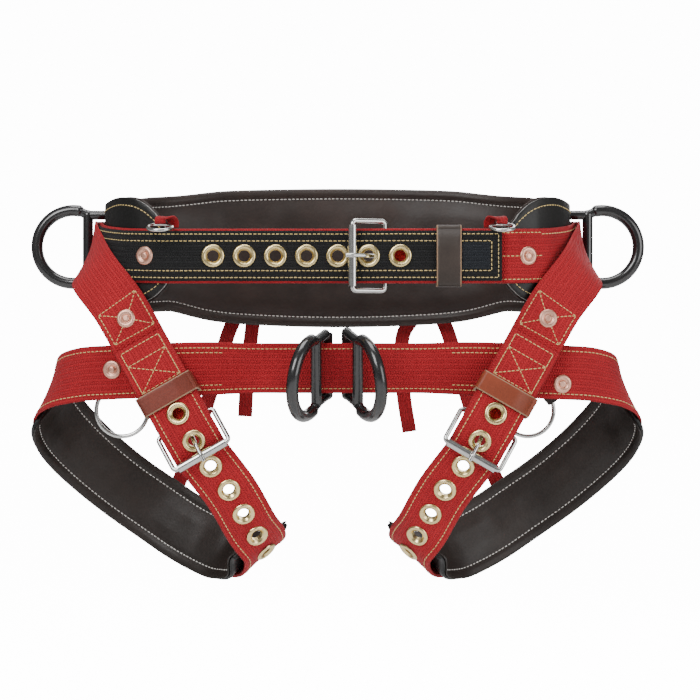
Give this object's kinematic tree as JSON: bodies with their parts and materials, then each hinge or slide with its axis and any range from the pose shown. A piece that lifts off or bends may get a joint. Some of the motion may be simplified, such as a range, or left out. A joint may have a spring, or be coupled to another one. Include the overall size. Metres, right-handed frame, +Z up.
{
  "type": "tree climbing saddle",
  "caption": "Arborist's climbing saddle: leather-lined waist belt with roller buckle, red webbing leg loops, cross strap, double-bar side and centre D-rings.",
  "frame": {"origin": "centre of the waist opening at the height of the belt's buckle strap", "axes": "+X to the wearer's left, -Y to the front where the waist buckle is, +Z up the wearer's body"},
  "size_m": [0.5304, 0.2294, 0.3409],
  "materials": {
    "red_webbing": "ribbed nylon webbing with yellow lockstitching",
    "black_nylon": "ribbed nylon webbing with yellow lockstitching",
    "pad_leather": "smooth dark leather, rolled edges, white stitching",
    "keeper_leather": "oiled harness leather with pale cut edges",
    "foam": "felt and closed-cell padding between leathers",
    "brass": "polished",
    "copper": "hammered copper rivets and burrs",
    "black_forging": "glossy black forged steel",
    "nickel_steel": "bright nickel plate"
  },
  "bodies": {
    "harness": {"belt_webbing": "red_webbing", "billet_overlay": "black_nylon", "leg_billet_left": "red_webbing", "leg_billet_right": "red_webbing", "leg_buckle_frame_left": "nickel_steel", "leg_buckle_frame_right": "nickel_steel", "leg_foam_left": "foam", "leg_foam_right": "foam", "leg_grommets_left": "brass", "leg_grommets_right": "brass", "leg_hanger_left": "red_webbing", "leg_hanger_right": "red_webbing", "leg_lining_left": "pad_leather", "leg_lining_right": "pad_leather", "leg_rivets_left": "copper", "leg_rivets_right": "copper", "leg_strap": "red_webbing", "ring_tab_left": "pad_leather", "ring_tab_right": "pad_leather", "riser_adjuster_left": "nickel_steel", "riser_adjuster_right": "nickel_steel", "riser_strap_left": "red_webbing", "riser_strap_right": "red_webbing", "riser_tab_left": "red_webbing", "riser_tab_right": "red_webbing", "riser_tail_left": "red_webbing", "riser_tail_right": "red_webbing", "small_loop_left": "red_webbing", "small_loop_right": "red_webbing", "waist_buckle_frame": "nickel_steel", "waist_cover": "pad_leather", "waist_foam": "foam", "waist_grommets": "brass", "waist_lining": "pad_leather", "waist_rivets": "copper"},
    "centre_dee_left": {"centre_dee_left": "black_forging"},
    "centre_dee_right": {"centre_dee_right": "black_forging"},
    "leg_keeper_left": {"leg_keeper_left": "keeper_leather"},
    "leg_keeper_right": {"leg_keeper_right": "keeper_leather"},
    "leg_ring_left": {"leg_ring_left": "nickel_steel"},
    "leg_ring_right": {"leg_ring_right": "nickel_steel"},
    "leg_roller_left": {"leg_roller_left": "nickel_steel"},
    "leg_roller_right": {"leg_roller_right": "nickel_steel"},
    "leg_tongue_left": {"leg_tongue_left": "nickel_steel"},
    "leg_tongue_right": {"leg_tongue_right": "nickel_steel"},
    "side_dee_left": {"side_dee_left": "black_forging"},
    "side_dee_right": {"side_dee_right": "black_forging"},
    "small_ring_left": {"small_ring_left": "nickel_steel"},
    "small_ring_right": {"small_ring_right": "nickel_steel"},
    "waist_keeper": {"waist_keeper": "keeper_leather"},
    "waist_roller": {"waist_roller": "nickel_steel"},
    "waist_tongue": {"waist_tongue": "nickel_steel"}
  },
  "joints": [
    {"name": "side_dee_swing_right", "type": "hinge", "parent": "harness", "child": "side_dee_right", "pos_m": [-0.1952, 0.01, 0.0126], "axis": [0, 0, 1], "range_deg": [-18, 18]},
    {"name": "side_dee_swing_left", "type": "hinge", "parent": "harness", "child": "side_dee_left", "pos_m": [0.1952, 0.01, 0.0126], "axis": [0, 0, 1], "range_deg": [-18, 18]},
    {"name": "centre_dee_slide_right", "type": "slide", "parent": "harness", "child": "centre_dee_right", "axis": [1, 0, 0], "range_m": [-0.05, 0.0025]},
    {"name": "centre_dee_slide_left", "type": "slide", "parent": "harness", "child": "centre_dee_left", "axis": [1, 0, 0], "range_m": [-0.0025, 0.05]},
    {"name": "waist_roller_spin", "type": "hinge", "parent": "harness", "child": "waist_roller", "pos_m": [0.0126, -0.0986, 0], "axis": [0, 0, 1], "continuous": true},
    {"name": "leg_roller_spin_right", "type": "hinge", "parent": "harness", "child": "leg_roller_right", "pos_m": [-0.10893, -0.10514, -0.1618], "axis": [0.8671, 0, 0.4981], "continuous": true},
    {"name": "leg_roller_spin_left", "type": "hinge", "parent": "harness", "child": "leg_roller_left", "pos_m": [0.10893, -0.10514, -0.1618], "axis": [0.8671, 0, -0.4981], "continuous": true},
    {"name": "waist_tongue_lift", "type": "hinge", "parent": "harness", "child": "waist_tongue", "pos_m": [0.039, -0.087, 0], "axis": [0, 0, 1], "range_deg": [0, 2]},
    {"name": "leg_tongue_lift_right", "type": "hinge", "parent": "harness", "child": "leg_tongue_right", "pos_m": [-0.1235, -0.096, -0.1364], "axis": [-0.8671, 0, -0.4981], "range_deg": [0, 2]},
    {"name": "leg_tongue_lift_left", "type": "hinge", "parent": "harness", "child": "leg_tongue_left", "pos_m": [0.1235, -0.096, -0.1364], "axis": [-0.8671, 0, 0.4981], "range_deg": [0, 2]},
    {"name": "waist_keeper_slide", "type": "slide", "parent": "harness", "child": "waist_keeper", "axis": [1, 0, 0], "range_m": [-0.015, 0.012]},
    {"name": "leg_keeper_slide_right", "type": "slide", "parent": "harness", "child": "leg_keeper_right", "axis": [0.4937, -0.1254, -0.8605], "range_m": [-0.004, 0]},
    {"name": "leg_keeper_slide_left", "type": "slide", "parent": "harness", "child": "leg_keeper_left", "axis": [-0.4937, -0.1254, -0.8605], "range_m": [-0.004, 0]},
    {"name": "leg_ring_swing_right", "type": "hinge", "parent": "harness", "child": "leg_ring_right", "pos_m": [-0.18069, -0.0735, -0.10547], "axis": [0.9848, 0, 0.1736], "range_deg": [-6, 50]},
    {"name": "leg_ring_swing_left", "type": "hinge", "parent": "harness", "child": "leg_ring_left", "pos_m": [0.17328, -0.0735, -0.11274], "axis": [0.6428, 0, -0.766], "range_deg": [-6, 50]},
    {"name": "small_ring_swing_right", "type": "hinge", "parent": "harness", "child": "small_ring_right", "pos_m": [-0.1434, -0.09148, 0.02583], "axis": [1, 0, 0], "range_deg": [-20, 10]},
    {"name": "small_ring_swing_left", "type": "hinge", "parent": "harness", "child": "small_ring_left", "pos_m": [0.134, -0.09148, 0.02583], "axis": [1, 0, 0], "range_deg": [-20, 10]}
  ]
}
